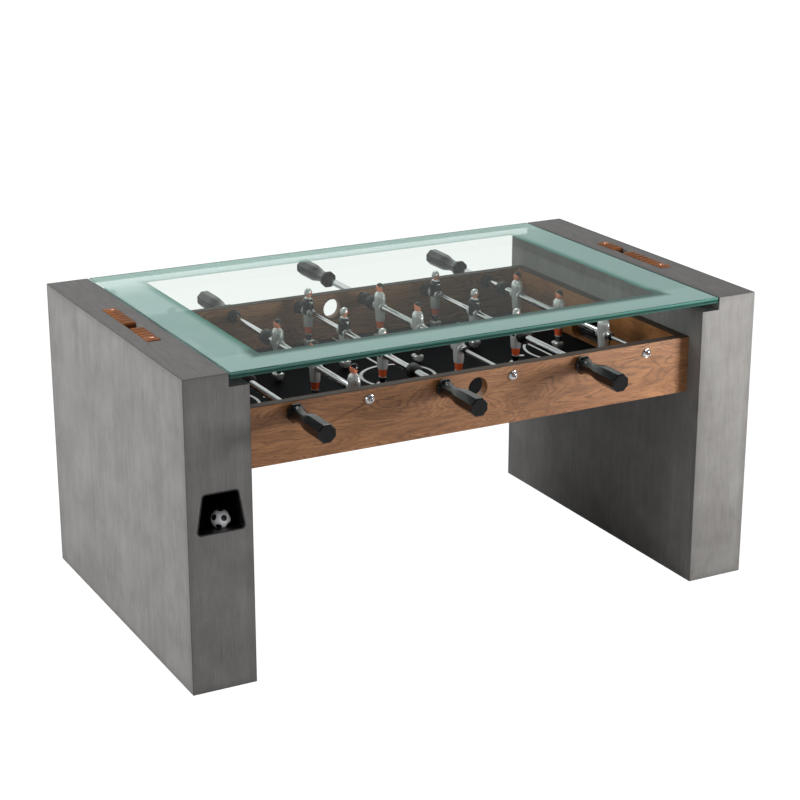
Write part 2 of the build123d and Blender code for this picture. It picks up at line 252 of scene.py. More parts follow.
class Finish:
    """The nodes of a material, or of the world, under construction."""

    def __init__(self, name, holder=None):
        self.material = holder or bpy.data.materials.new(name)
        self.material.use_nodes = True
        self.tree = self.material.node_tree
        self.tree.nodes.clear()

    def node(self, kind, settings=None, values=None, out=0):
        """A node of one kind, with its settings and what goes into its sockets."""
        made = self.tree.nodes.new(kind)
        for key, value in (settings or {}).items():
            setattr(made, key, value)
        for key, value in (values or {}).items():
            if isinstance(value, Wire):
                self.tree.links.new(value.socket, made.inputs[key])
            else:
                made.inputs[key].default_value = value
        return Wire(self, made.outputs[out]) if len(made.outputs) else None

    def place(self, scale=(1, 1, 1), shift=(0, 0, 0)):
        """The point on the piece, in mm from the table's middle, then scaled and moved."""
        spot = self.node("ShaderNodeTexCoord", out="Object")
        to_middle = {"Location": (-middle_x / MM, -middle_y / MM, 0), "Scale": (1 / MM,) * 3}
        centred = self.node("ShaderNodeMapping", POINTS, {"Vector": spot} | to_middle)
        return self.node("ShaderNodeMapping", POINTS, {"Vector": centred, "Location": shift, "Scale": scale})

    def split(self, vector):
        """The three numbers of a vector."""
        return [self.node("ShaderNodeSeparateXYZ", {}, {0: vector}, out=axis) for axis in range(3)]

    def noise(self, vector, scale=1.0, detail=3.0, roughness=0.5, twist=0.0):
        values = {"Vector": vector, "Scale": scale, "Detail": detail}
        values |= {"Roughness": roughness, "Distortion": twist}
        return self.node("ShaderNodeTexNoise", {}, values)

    def ramp(self, value, stops):
        """Colours that follow a value, each stop a (position, colour)."""
        ramp = self.node("ShaderNodeValToRGB", {}, {0: value})
        elements = ramp.socket.node.color_ramp.elements
        while len(elements) < len(stops):
            elements.new(1.0)
        for element, (position, colour) in zip(elements, stops):
            element.position = position
            element.color = (*colour, 1.0)
        return ramp

    def blend(self, factor, first, second, way="MIX"):
        """One colour turning into another as factor goes from 0 to 1."""
        first, second = (colour if isinstance(colour, Wire) else (*colour, 1.0) for colour in (first, second))
        settings = {"data_type": "RGBA", "blend_type": way}
        return self.node("ShaderNodeMix", settings, {0: factor, 6: first, 7: second}, out=2)

    def bump(self, height, depth):
        """A normal from a height that runs from 0 to 1, depth in mm from lowest to highest."""
        return self.node("ShaderNodeBump", {}, {"Height": height, "Distance": depth * MM, "Strength": 1.0})

    def surface(self, **values):
        """The Principled shader; names use an underscore for each space."""
        sockets = {}
        for key, value in values.items():
            if isinstance(value, tuple) and len(value) == 3:
                value = (*value, 1.0)
            sockets[key.replace("_", " ")] = value
        return self.node("ShaderNodeBsdfPrincipled", {}, sockets)

    def coated(self, **values):
        """The finished material, with one Principled shader."""
        return self.done(self.surface(**values))

    def done(self, shader, output="ShaderNodeOutputMaterial"):
        self.node(output, {}, {"Surface": shader})
        return self.material


print("shader tools ready")

# %% [markdown]
# ## Grey-washed wood
#
# The legs are veneered and stained a cool grey. A grey stain sinks into the pores, so the grain shows as
# fine dark streaks under a cloudy wash. The streaks run up the sides of a leg and along its top, so the
# pattern is stretched one way on upright faces and the other way on level ones. The level faces, the
# tops, are also painted darker as shade.

# %% The grey finish of the legs
def grey_wash(name):
    finish = Finish(name)
    facing = finish.node("ShaderNodeNewGeometry", out="Normal")
    level = abs(finish.split(facing)[2]).rise(0.6, 0.8)
    upright_grain = finish.place(scale=(1, 1, 0.025))
    level_grain = finish.place(scale=(1, 0.025, 1), shift=(0, 0, 7))
    grains = {0: level, 4: upright_grain, 5: level_grain}
    grain = finish.node("ShaderNodeMix", {"data_type": "VECTOR"}, grains, out=1)
    pores = finish.noise(grain, 0.85, 5, 0.62)
    bands = finish.noise(grain, 0.09, 3, 0.55, 0.4)
    clouds = finish.noise(finish.place(), 0.011, 4, 0.6)
    rub = finish.noise(finish.place(scale=(1, 1, 0.4)), 0.05, 3, 0.7)
    tone = clouds * 0.58 + bands * 0.22 + rub * 0.22 + pores * 0.46 - 0.035
    shades = [(0.52, (0.128, 0.121, 0.115)), (0.74, (0.186, 0.181, 0.175)), (0.95, (0.242, 0.238, 0.231))]
    wood = finish.ramp(tone, shades)
    open_pores = pores.rise(0.42, 0.33)
    streaks = pores.rise(0.60, 0.40)
    # Open pores take real stain everywhere. Level faces, the tops, are pulled at least half way to the stain
    # colour as painted shade, and further along the grain's streaks.
    pore_stain_and_top_shade = (open_pores * 0.35).most(level * (streaks * 0.32 + 0.5))
    stained_and_top_shaded = finish.blend(pore_stain_and_top_shade, wood, (0.062, 0.060, 0.058))
    across, along, height = finish.split(finish.place())
    end, side = abs(across), abs(along)
    waver = clouds * 1.2 - 0.6

    def near(distance, width):
        return abs(distance).rise(width, 0.1)

    def edges(width):
        """1 on an edge and 0 further than width from it: there two of the distances are small."""
        outer, inner = near(end - half_length, width), near(end - INNER_FACE, width)
        notch, front = near(end - NOTCH_FACE, width), near(side - half_depth, width)
        top, foot = near(height - table_height, width), near(height, width)
        shelf = near(height - TOP_OF_SHELF, width)
        below_shelf = height.rise(TOP_OF_SHELF + 1.5, TOP_OF_SHELF - 3.5)
        ends = front * outer.most(top).most(inner * below_shelf).most(foot)
        return ends.most(top * outer.most(notch)).most(front * shelf * inner).most(foot * outer)

    darkened = finish.blend(edges(16.0) * (0.22 + waver * 0.2), stained_and_top_shaded, (0.045, 0.042, 0.040))
    edged = finish.blend(edges(1.9) * 0.72, darkened, (0.040, 0.037, 0.035))
    sheen = 0.54 + clouds * 0.14 - open_pores * 0.05
    relief = finish.bump(pores * 0.8 + bands * 0.2, 0.12)
    return finish.coated(Base_Color=edged, Roughness=sheen, Normal=relief)


grey_wood = grey_wash("grey_washed_wood")
print("finish", grey_wood.name)

# %% [markdown]
# ## Walnut
#
# The box is walnut veneer, cut so that the growth rings show as long arches. A ring is where a slowly
# bending height field crosses a whole number, so the sine of that field gives the arches, and finer
# noise stretched along the board gives the pores. The same recipe serves boards that run along X and
# boards that run along Y, and a redder mix of it serves the score blocks.

# %% The walnut and the score wood
TOP_OF_APRON = box_mm("front_apron")[1][2]


def veneer(name, along, dark, middle, light, ring_height=26.0, size=1.0, gloss=0.36, coat=0.24):
    """Growth rings are sines of a field that climbs with the height and sways along the board."""
    finish = Finish(name)
    stretch = [1.0, 1.0, 1.0]
    stretch["XYZ".index(along)] = 0.24
    slow = finish.place(scale=stretch)
    stretch["XYZ".index(along)] = 0.07
    fibre = finish.place(scale=stretch)
    sway = finish.noise(slow, 0.017 / size, 2, 0.45, 0.3)
    knot = finish.noise(slow, 0.006 / size, 1, 0.4)
    height = finish.split(finish.place())[2]
    field = height / (ring_height * size) + sway * 6.5 + knot * 5.0
    wobble = finish.noise(slow, 0.07 / size, 4, 0.65)
    rings = (field * 2 * math.pi + wobble * 6.0).sine() * 0.5 + 0.5
    fine_rings = (field * 9.0 * math.pi + wobble * 14.0).sine() * 0.5 + 0.5
    pores = finish.noise(fibre, 0.55 / size, 4, 0.7)
    fleck = finish.noise(slow, 0.5 / size, 3, 0.6)
    patches = finish.noise(finish.place(scale=(0.5, 0.5, 0.8)), 0.012 / size, 3, 0.5)
    tone = rings * 0.14 + fine_rings * 0.13 + patches * 0.48 + pores * 0.30 + fleck * 0.24 - 0.06
    wood = finish.ramp(tone, [(0.22, dark), (0.52, middle), (0.86, light)])
    open_pores = pores.rise(0.46, 0.36)
    line = fine_rings.rise(0.10, 0.0) * rings.rise(0.3, 0.8)
    veined = finish.blend((open_pores * 0.5).most(line * 0.6), wood, tuple(part * 0.5 for part in dark))
    # A narrow band round the top edge of the apron is darkened nearly to black: painted shade, where the
    # glass and its frosted border shade that edge. The band is also made rougher.
    above = height - TOP_OF_APRON
    painted_shade_rim = above.rise(-1.4, -0.6) * above.rise(2.0, 1.0)
    rim_in_painted_shade = finish.blend(painted_shade_rim * 0.95, veined, tuple(part * 0.3 for part in dark))
    relief = finish.bump(pores * 0.7 + rings * 0.3, 0.08)
    return finish.coated(
        Base_Color=rim_in_painted_shade,
        Roughness=gloss + open_pores * 0.12 + patches * 0.08 + painted_shade_rim * 0.5,
        Normal=relief,
        Specular_IOR_Level=coat * 1.6,
        Coat_Weight=coat * 2.2,
        Coat_Roughness=0.5,
    )


walnut_tones = ((0.100, 0.037, 0.011), (0.250, 0.102, 0.034), (0.415, 0.187, 0.070))
walnut_long = veneer("walnut_along_the_sides", "X", *walnut_tones)
walnut_short = veneer("walnut_across_the_ends", "Y", *walnut_tones)
score_tones = ((0.050, 0.016, 0.005), (0.190, 0.062, 0.017), (0.360, 0.130, 0.036))
score_wood = veneer("oiled_score_wood", "X", *score_tones, ring_height=5.0, size=0.28, gloss=0.45, coat=0.05)
print("finishes", walnut_long.name, walnut_short.name, score_wood.name)

# %% [markdown]
# ## Metals, plastics and rubber
#
# Polished metal is never quite even: polishing leaves a faint haze, so roughness drifts a little over
# the surface. Moulded plastic has a fine pebble that shows as bump, and rubber is duller still.

# %% Plain finishes that differ only in their numbers
def plain(
    name, colour, roughness, metallic=0.0, drift=0.05, pebble=0.0, pebble_size=0.6, coat=0.0, shine=0.5
):
    """drift is how far the roughness wanders; pebble is the bump's depth in mm."""
    finish = Finish(name)
    haze = finish.noise(finish.place(), 0.06, 4, 0.6)
    grain = finish.noise(finish.place(), 1 / pebble_size, 2, 0.5)
    shade = finish.blend(haze, tuple(part * 0.86 for part in colour), tuple(part * 1.1 for part in colour))
    values = {"Base_Color": shade, "Roughness": haze * 2 * drift + (roughness - drift), "Metallic": metallic}
    values["Specular_IOR_Level"] = shine
    if pebble:
        values["Normal"] = finish.bump(grain, pebble)
    if coat:
        values |= {"Coat_Weight": coat, "Coat_Roughness": 0.12}
    return finish.coated(**values)


chrome = plain("polished_chrome", (0.72, 0.73, 0.75), 0.09, 1.0, 0.04)
steel = plain("ground_steel", (0.62, 0.63, 0.65), 0.2, 1.0, 0.06)
copper = plain("polished_copper", (0.62, 0.27, 0.15), 0.26, 1.0, 0.05)
black_plastic = plain("black_moulded_plastic", (0.008, 0.008, 0.009), 0.3, 0, 0.06, 0.01, 0.8)
grip_plastic = plain("black_grip_plastic", (0.004, 0.004, 0.005), 0.24, 0, 0.05, 0.006, 1.4, 0.35, 0.3)
rubber = plain("black_rubber", (0.008, 0.008, 0.009), 0.5, 0, 0.08, 0.02, 0.5)
pad_rubber = plain("clear_pad", (0.30, 0.33, 0.32), 0.3, 0, 0.05, 0.01, 1.0)
print("finishes", chrome.name, steel.name, copper.name, black_plastic.name, rubber.name)

# %% [markdown]
# ## The pitch
#
# The pitch is a black laminate printed with white lines. Each line is worked out from distances: a
# circle is where the distance from its middle is near its radius, and a straight line is where one
# coordinate is near its value. The marks repeat at both ends, so they use the distance from the middle.

# %% The pitch and its lines
CIRCLE, LINE, BOX_FRONT, BOX_HALF, ARC_CENTRE, ARC, SPOT = 67.0, 4.6, 309.0, 120.0, 367.0, 87.0, 260.0


def printed_pitch(name):
    finish = Finish(name)
    across, along, _ = finish.split(finish.place())
    end, side = abs(across), abs(along)

    def stroke(distance, width):
        return abs(distance).rise(width / 2 + 0.35, width / 2 - 0.35)

    def reach(x, y):
        return (x * x + y * y) ** 0.5

    centre = stroke(reach(across, along) - CIRCLE, LINE + 1.6)
    halfway = stroke(across, LINE) * reach(across, along).rise(CIRCLE - 0.5, CIRCLE + 0.5)
    front_line = stroke(end - BOX_FRONT, LINE) * side.rise(BOX_HALF + 2.3, BOX_HALF + 2.0)
    side_line = stroke(side - BOX_HALF, LINE) * end.rise(BOX_FRONT - 0.5, BOX_FRONT + 0.5)
    arc = stroke(reach(end - ARC_CENTRE, along) - ARC, LINE + 0.6) * end.rise(BOX_FRONT, BOX_FRONT - 1)
    spot = reach(end - SPOT, along).rise(5.4, 4.8)
    lines = centre.most(halfway).most(front_line).most(side_line).most(arc).most(spot)
    speckle = finish.noise(finish.place(), 0.9, 2, 0.5)
    dust = finish.noise(finish.place(), 0.02, 4, 0.6)
    black = finish.blend(speckle * 0.5 + dust * 0.3, (0.0045, 0.0048, 0.006), (0.010, 0.0105, 0.0125))
    ink = finish.blend(speckle, (0.66, 0.67, 0.67), (0.78, 0.79, 0.79))
    colour = finish.blend(lines, black, ink)
    relief = finish.bump(lines * 0.6 + speckle * 0.4, 0.03)
    sheen = 0.5 + dust * 0.1
    return finish.coated(Base_Color=colour, Roughness=sheen, Normal=relief, Specular_IOR_Level=0.03)


pitch = printed_pitch("printed_pitch")
print("finish", pitch.name)

# %% [markdown]
# ## Glass
#
# The glass is clear in the middle and frosted round its border, and its ground edge looks green,
# because from the side light has travelled a long way through it. A flat pane hardly bends what is
# seen through it, so its faces let light straight through with a faint green tint and add a mirror
# that grows towards grazing angles. The frosted border's colour carries painted shade along its near
# side and its inner edge, and painted light on its far side. The green edge has painted light and dark
# bands and a paler far side.

# %% Clear faces, frosted border and green edge
WINDOW_X, WINDOW_Y, GLASS = 380.0, 245.0, 10.0


def clear_glass(name):
    finish = Finish(name)
    smear = finish.noise(finish.place(), 0.008, 3, 0.6)
    through = finish.node("ShaderNodeBsdfTransparent", {}, {"Color": (0.912, 0.941, 0.922, 1.0)})
    mirror = finish.surface(Base_Color=(0.9, 0.95, 0.93), Metallic=1.0, Roughness=smear * 0.03 + 0.02)
    away = finish.node("ShaderNodeLayerWeight", {}, {"Blend": 0.5}, out="Facing")
    grazing = away**5 * 0.13 + 0.008
    return finish.done(finish.node("ShaderNodeMixShader", {}, {0: grazing, 1: through, 2: mirror}))


def frosted_glass(name):
    finish = Finish(name)
    across, along, _ = finish.split(finish.place())
    inside = (abs(across) - WINDOW_X).most(abs(along) - WINDOW_Y)
    near_side = along.rise(-200.0, -243.0)
    # The far border is painted paler: painted light on the far side.
    far_side_painted_light = along.rise(150.0, 300.0)
    # Near the window, the near border darkens to deep green: a painted shadow of the box seen through the
    # frost.
    depth = inside.rise(27.0, 5.0) * (near_side * 0.95 + 0.05)
    # A dark green line along the window's inner edge, weaker on the far side, is painted shade.
    painted_shade_rim = inside.rise(20.0, 0.0) * (1 - far_side_painted_light * 0.7) * 0.95
    clouds = finish.noise(finish.place(), 0.02, 3, 0.5)
    grit = finish.noise(finish.place(), 2.0, 2, 0.5)
    cloudy = finish.blend(clouds, (0.375, 0.560, 0.542), (0.410, 0.595, 0.577))
    frost = finish.blend(far_side_painted_light, cloudy, (0.640, 0.860, 0.830))
    frost_with_shaded_rim = finish.blend(painted_shade_rim, frost, (0.030, 0.250, 0.190))
    deep = finish.blend(depth, frost_with_shaded_rim, (0.014, 0.080, 0.070))
    relief = finish.bump(grit, 0.01)
    cover = (clouds * 0.04 + 0.66 - far_side_painted_light * 0.32).most(near_side * 0.8).most(depth * 0.97)
    sheen = grit * 0.1 + 0.45
    return finish.coated(Base_Color=deep, Roughness=sheen, Normal=relief, Specular_IOR_Level=0.3, Alpha=cover)


def green_edge(name):
    finish = Finish(name)
    height = finish.split(finish.place())[2]
    drift = finish.noise(finish.place(scale=(1, 1, 0.2)), 0.012, 3, 0.6)
    level = (height - (table_height - GLASS)) / GLASS + (drift - 0.5) * 0.35
    # The bands across the edge's height, dark in the middle and light near the top, are painted light and
    # shade on the ground edge.
    greens = [(0.0, (0.050, 0.155, 0.130)), (0.28, (0.014, 0.060, 0.048)), (0.45, (0.006, 0.030, 0.024))]
    greens += [(0.66, (0.045, 0.145, 0.120)), (0.90, (0.110, 0.265, 0.230)), (1.0, (0.020, 0.080, 0.065))]
    edge = finish.ramp(level, greens)
    # The far edge, seen through the pane, is painted paler: painted light.
    far_side_painted_light = finish.split(finish.place())[1].rise(250.0, 312.0)
    far_edge_painted_lighter = finish.blend(far_side_painted_light * 0.85, edge, (0.55, 0.76, 0.71))
    return finish.coated(Base_Color=far_edge_painted_lighter, Roughness=drift * 0.1 + 0.12)


clear_face = clear_glass("clear_glass_face")
frost = frosted_glass("frosted_border")
edge_green = green_edge("green_glass_edge")
print("finishes", clear_face.name, frost.name, edge_green.name)

# %% [markdown]
# ## Paint on the players, and the ball
#
# The players are moulded in one piece and painted, so their colour is stored on the faces and one
# paint finish reads it. The ball has twelve black patches at the corners of an icosahedron: a point
# lies in a patch when its direction from the ball's middle is close to one of the twelve.

# %% The paint and the ball
def painted(name):
    finish = Finish(name)
    paint = finish.node("ShaderNodeAttribute", {"attribute_name": "paint"}, out="Color")
    mottle = finish.noise(finish.place(), 0.5, 3, 0.6)
    shade = finish.blend(mottle * 0.28, paint, (0.5, 0.5, 0.5), "SOFT_LIGHT")
    relief = finish.bump(mottle, 0.05)
    silvery = finish.split(paint)[1].rise(0.5, 0.7)
    gloss = mottle * 0.12 + 0.18
    return finish.coated(Base_Color=shade, Metallic=silvery * 0.55, Roughness=gloss, Normal=relief)


BALL_TIP, PATCH_EDGE = 0.6, 0.952
DOT = {"operation": "DOT_PRODUCT"}


def ball_skin(name):
    finish = Finish(name)
    low, high = box_mm("ball")
    middle = (low + high) / 2
    arm = finish.place(shift=tuple(-middle))
    aim = finish.node("ShaderNodeVectorMath", {"operation": "NORMALIZE"}, {0: arm})
    golden = (1 + math.sqrt(5)) / 2
    length = math.hypot(1, golden)
    tip_cosine, tip_sine = math.cos(BALL_TIP), math.sin(BALL_TIP)
    nearest = None
    for first, second, spin in itertools.product((-1, 1), (-golden, golden), range(3)):
        across, along, up = np.roll((0, first, second), spin) / length
        tipped = (across, along * tip_cosine - up * tip_sine, along * tip_sine + up * tip_cosine)
        close = finish.node("ShaderNodeVectorMath", DOT, {0: aim, 1: tipped}, out="Value")
        nearest = close if nearest is None else nearest.most(close)
    patch = nearest.rise(PATCH_EDGE, PATCH_EDGE + 0.005)
    seam = abs(nearest - PATCH_EDGE).rise(0.008, 0.003)
    colour = finish.blend(patch, (0.90, 0.90, 0.93), (0.012, 0.012, 0.014))
    lined = finish.blend(seam * 0.7, colour, (0.10, 0.10, 0.10))
    scuff = finish.noise(finish.place(), 0.4, 3, 0.6)
    relief = finish.bump(1 - seam, 0.06)
    return finish.coated(Base_Color=lined, Roughness=scuff * 0.15 + 0.24, Normal=relief)


player_paint = painted("player_paint")
ball_finish = ball_skin("patched_ball")
print("finishes", player_paint.name, ball_finish.name)

# %% [markdown]
# ## Finishes for the pieces that keep their CAD shape
#
# The flat boards of the box, the pitch and the hidden pieces already have the right shape. They get a
# finish, and the boards that show also get their sharp edges eased: Weld joins the loose triangles
# and Bevel rounds the edges between faces that meet at an angle.

# %% Dress the CAD pieces
def dress(node, finish, ease=0.0):
    """Give a CAD node one finish and, where it shows, eased edges ease mm wide."""
    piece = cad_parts[node]
    piece.data.materials.clear()
    piece.data.materials.append(finish)
    if ease:
        weld = piece.modifiers.new("weld", "WELD")
        weld.merge_threshold = 1e-5
        bevel = piece.modifiers.new("ease", "BEVEL")
        bevel.width = ease * MM
        bevel.segments = 2
        bevel.limit_method = "ANGLE"
        bevel.angle_limit = math.radians(40)
        bevel.harden_normals = True


for node in ("front_apron", "rear_apron"):
    dress(node, walnut_long, 0.9)
for node in ("left_end_wall", "right_end_wall"):
    dress(node, walnut_short, 0.9)
dress("playfield", pitch)
dress("glass_shelves", grey_wood)
dress("glass_pads", pad_rubber, 0.6)
for side in ("left", "right"):
    dress(f"{side}_ball_return", black_plastic, 0.5)
print("dressed", sum(bool(node.data.materials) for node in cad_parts.values()), "nodes")

# %% [markdown]
# ## Outlines with rounded corners
#
# Many pieces start as a flat outline: the leg's profile, the pocket's mouth, a pane, a score block.
# Each corner becomes an arc, and every point keeps its outward direction, so that a later step can
# shrink the outline evenly to round an edge.

# %% An outline and its outward directions
ARC_STEPS = 4
PER_CORNER = ARC_STEPS + 3


def rounded_outline(corners, radii, margin=0.0):
    """Walk the corners clockwise. An arc's points are its centre plus radius times a direction that
    turns from one side's normal to the next; a margin adds a point on each side of the arc."""
    corners = np.asarray(corners, float)
    ahead = np.roll(corners, -1, 0) - corners
    ahead /= np.linalg.norm(ahead, axis=1, keepdims=True)
    behind = np.roll(ahead, 1, 0)
    points, normals = [], []
    for corner, before, after, radius in zip(corners, behind, ahead, radii):
        first = np.array((-before[1], before[0]))
        last = np.array((-after[1], after[0]))
        bend = math.atan2(first[0] * last[1] - first[1] * last[0], first @ last)
        start = math.atan2(first[1], first[0])
        angle = start + bend * np.linspace(0, 1, ARC_STEPS + 1)
        direction = np.stack([np.cos(angle), np.sin(angle)], -1)
        if radius == 0:
            direction = np.repeat([(first + last) / (1 + first @ last)], ARC_STEPS + 1, axis=0)
        centre = corner - (first + last) * radius / (1 + first @ last)
        arc = centre + radius * direction if radius else np.repeat([corner], ARC_STEPS + 1, axis=0)
        points += [[arc[0] - before * margin], arc, [arc[-1] + after * margin]]
        normals += [[first], direction, [last]]
    return np.concatenate(points), np.concatenate(normals)


def around(outline, normals, centre, angles):
    """Where rays from centre meet the outline: on each side, the point where ray and side cross."""
    offset = outline - centre
    own = np.unwrap(np.arctan2(offset[:, 1], offset[:, 0]))
    turns = np.concatenate([own + 2 * np.pi, own, own - 2 * np.pi])
    number = np.tile(np.arange(len(own)), 3)
    place = np.searchsorted(-turns, -angles).clip(1, len(turns) - 1)
    one, two = offset[number[place - 1]], offset[number[place]]
    ray = np.stack([np.cos(angles), np.sin(angles)], -1)
    side = two - one
    across = side[:, 0] * ray[:, 1] - side[:, 1] * ray[:, 0]
    ahead = one[:, 0] * ray[:, 1] - one[:, 1] * ray[:, 0]
    share = np.clip(-ahead / np.where(np.abs(across) < 1e-9, 1.0, across), 0, 1)[:, None]
    mixed = normals[number[place - 1]] * (1 - share) + normals[number[place]] * share
    return centre + one + share * side, mixed


print("outline tools ready, points per corner", PER_CORNER)

# %% [markdown]
# ## The legs
#
# A leg is five veneered boards mitred at the corners: one outside, one inside, one on top with a slot
# for the score counter, and two ends. The end at the pocket has a mouth, wider below, where the ball
# comes out. Each board is a sheet with an outer skin, an inner skin 12 mm behind it and a rim that
# joins them. The outer skins turn through an arc of 1.2 mm at each corner of the leg and meet half way.

# %% The boards of a leg
PANEL, EASE = 12.0, 1.2
leg_corners = [(0, 0), (0, table_height), (LEG_TOP, table_height)]
leg_corners += [(LEG_TOP, TOP_OF_SHELF), (LEG_WIDTH, TOP_OF_SHELF), (LEG_WIDTH, 0)]
leg_points, leg_normals = rounded_outline(leg_corners, (EASE, EASE, EASE, 0, EASE, EASE), margin=3.0)


def behind_boards(section):
    """Points of the leg's profile moved in to the hollow's sides and top."""
    return np.stack([section[:, 0].clip(PANEL, LEG_WIDTH - PANEL), section[:, 1].clip(0, TOP_OF_SHELF)], -1)


leg_inside = behind_boards(leg_points)
top_start, top_end = (corner * PER_CORNER + PER_CORNER // 2 for corner in (1, 3))
mouth_corners = [(14.9, 270.5), (26.4, 339.5), (88.4, 339.5), (99.9, 270.5)]
mouth_points, mouth_normals = rounded_outline(mouth_corners, (7.0,) * 4)
mouth_centre = np.array((57.4, 303.0))


def in_leg(section, depth, way):
    """Points of (distance in from the leg's outer face, height) at a depth, for the left leg (way 1)
    or, after half a turn, for the right leg (way -1)."""
    depth = np.broadcast_to(depth, section.shape[:-1])
    return np.stack([way * (section[..., 0] - half_length), way * depth, section[..., 1]], -1)


def thick_sheet(outer, inner, hole=None):
    """Two grids of the same size joined by a rim; hole is (row, row, column, column) left open."""
    rows, columns = outer.shape[:2]
    number = np.arange(rows * columns).reshape(rows, columns)
    cells = grid_faces(rows, columns).reshape(rows - 1, columns - 1, 4)
    keep = np.ones((rows - 1, columns - 1), bool)
    borders = [(0, rows - 1, 0, columns - 1)]
    if hole:
        keep[hole[0] : hole[1], hole[2] : hole[3]] = False
        borders.append(hole)
    faces = [cells[keep], cells[keep][:, ::-1] + rows * columns]
    for top, bottom, left, right in borders:
        along_top, down_right = number[top, left : right + 1], number[top + 1 : bottom + 1, right]
        along_bottom, up_left = number[bottom, left:right][::-1], number[top + 1 : bottom, left][::-1]
        loop = np.concatenate([along_top, down_right, along_bottom, up_left])
        ahead = np.roll(loop, -1)
        faces.append(np.stack([loop, ahead, ahead + rows * columns, loop + rows * columns], -1))
    faces = np.concatenate(faces)
    points = np.concatenate([outer.reshape(-1, 3), inner.reshape(-1, 3)])
    return points, faces, np.zeros(len(faces), int)


def leg_side(first, last, way, cuts=(), extra=(), hole=None):
    """A board along the depth of the leg, from one mitre of the profile to another. cuts are depths
    and extra are profile points where the sides of a hole lie."""
    points, normals = leg_points[first : last + 1], leg_normals[first : last + 1]
    inside = leg_inside[first : last + 1]
    for spot, at, normal, behind in extra:
        points = np.insert(points, at, spot, axis=0)
        normals = np.insert(normals, at, normal, axis=0)
        inside = np.insert(inside, at, behind, axis=0)
    tilt = np.radians((45.0, 30.0, 15.0, 0.0))
    reach = half_depth - EASE * (1 - np.sin(tilt))
    inset = EASE * (1 - np.cos(tilt))
    depth = np.concatenate([-reach, cuts, reach[::-1]])
    insets = np.concatenate([inset, np.zeros(len(cuts)), inset[::-1]])
    outer = points[:, None] - normals[:, None] * insets[None, :, None]
    behind = np.repeat(inside[:, None], len(depth), axis=1)
    inner_depth = depth.clip(PANEL - half_depth, half_depth - PANEL)
    return thick_sheet(in_leg(outer, depth, way), in_leg(behind, inner_depth, way), hole)


def leg_end(way, depth_way, mouth):
    """An end board: rings that follow the leg's profile round its eased edge, then flat to the mouth
    or to a middle point, and back along the inside."""
    centre = mouth_centre
    own = np.arctan2(*(leg_points - centre).T[::-1])
    others = np.arctan2(*(mouth_points - centre).T[::-1])
    angles = np.unique(np.round(np.concatenate([own, others]) if mouth else own, 9))[::-1]
    edge, outward = around(leg_points, leg_normals, centre, angles)
    inside = behind_boards(edge)
    rings, depths = [], []
    for tilt in np.radians((45.0, 60.0, 75.0, 90.0)):
        rings.append(edge - outward * EASE * (1 - math.cos(tilt)))
        depths.append(half_depth - EASE * (1 - math.sin(tilt)))
    if mouth:
        lip, lip_outward = around(mouth_points, mouth_normals, centre, angles)
        for tilt in np.radians((0.0, 30.0, 60.0, 90.0)):
            rings.append(lip + lip_outward * 1.0 * (1 - math.sin(tilt)))
            depths.append(half_depth - 1.0 * (1 - math.cos(tilt)))
        rings.append(lip)
        depths.append(half_depth - PANEL)
    else:
        rings.insert(0, np.repeat([centre], len(angles), axis=0))
        rings = [rings[0]] + rings[1:][::-1]
        depths = [half_depth] + depths[::-1]
    rings.append(inside)
    depths.append(half_depth - PANEL)
    if not mouth:
        rings.append(np.repeat([centre], len(angles), axis=0))
        depths.append(half_depth - PANEL)
    grid = in_leg(np.stack(rings), depth_way * np.array(depths)[:, None], way)
    return loft(grid, hollow=mouth)


GOAL_HALF, GOAL_LOW, GOAL_HIGH = 65.0, 368.0, 420.0
SLOT_LOW, SLOT_HIGH, SLOT_HALF = 28.0, 51.0, 107.0
inner_face = (1.0, 0.0)
goal_rows = [
    ((LEG_WIDTH, GOAL_HIGH), PER_CORNER, inner_face, (LEG_WIDTH - PANEL, GOAL_HIGH)),
    ((LEG_WIDTH, GOAL_LOW), PER_CORNER + 1, inner_face, (LEG_WIDTH - PANEL, GOAL_LOW)),
]
slot_start = 2 * PER_CORNER - top_start
slot_hole = (slot_start, slot_start + 1, 4, 5)
goal_hole = (PER_CORNER, PER_CORNER + 1, 4, 5)
slot_rows = [
    ((SLOT_LOW, table_height), slot_start, (0.0, 1.0), (SLOT_LOW, TOP_OF_SHELF)),
    ((SLOT_HIGH, table_height), slot_start + 1, (0.0, 1.0), (SLOT_HIGH, TOP_OF_SHELF)),
]
first, last = 4 * PER_CORNER, 6 * PER_CORNER - 1
for side, way in (("left", 1), ("right", -1)):
    boards = {
        "outer": leg_side(0, top_start, way),
        "top": leg_side(top_start, top_end, way, (-SLOT_HALF, SLOT_HALF), slot_rows, slot_hole),
        "inner": leg_side(first, last, way, (-GOAL_HALF, GOAL_HALF), goal_rows, goal_hole),
        "pocket": leg_end(way, -1, True),
        "plain": leg_end(way, 1, False),
    }
    for board, part in boards.items():
        name = f"{side}_leg_{board}"
        make_piece(f"{name}_board", [part], [grey_wood], nodes=[f"{name}_panel"], crease=40)
print("leg boards made", 2 * len(boards))

# %% [markdown]
# ## The glass top
#
# The pane is a rectangle with its long edges ground flat and its arrises taken off. It is one closed
# skin: the two faces take the clear finish and the rim takes the green one. The frosted border is
# etched, so it is a very thin ring just under the upper face, with a clear strip left along the edge.

# %% The pane and its frosted border
def rectangle(half_x, half_y, radius, height, inset=0.0):
    """A level rounded rectangle, shrunk by inset."""
    corners = [(-half_x, -half_y), (-half_x, half_y), (half_x, half_y), (half_x, -half_y)]
    points, normals = rounded_outline(corners, (radius,) * 4)
    points = points - normals * inset
    return np.column_stack([points, np.full(len(points), height)])


